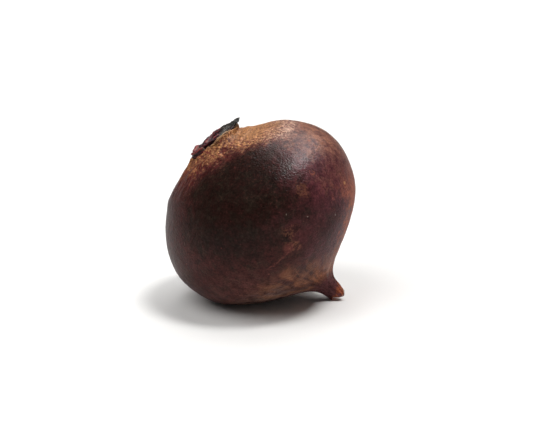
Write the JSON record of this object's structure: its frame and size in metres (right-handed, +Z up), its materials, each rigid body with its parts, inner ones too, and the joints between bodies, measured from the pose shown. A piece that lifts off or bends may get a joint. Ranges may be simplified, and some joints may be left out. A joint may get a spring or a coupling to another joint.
{
  "type": "beetroot",
  "caption": "Whole dark red beetroot with its leaves cut off at the crown and a short torn taproot, lying on its cheek and the taproot's tip.",
  "frame": {"origin": "on the table under the middle of the bounding box", "axes": "+Z up, the crown leans to the upper left (-X), the taproot points to the lower right (+X), -Y faces the camera of the picture"},
  "size_m": [0.0678, 0.0744, 0.0665],
  "materials": {
    "beet_skin": "dull earthy skin, corky tan round the neck",
    "cut_stalk": "dried dark maroon cut stalks, slightly glossy"
  },
  "bodies": {
    "root": {"root": "beet_skin", "leaf_stalks": "cut_stalk"}
  },
  "joints": []
}
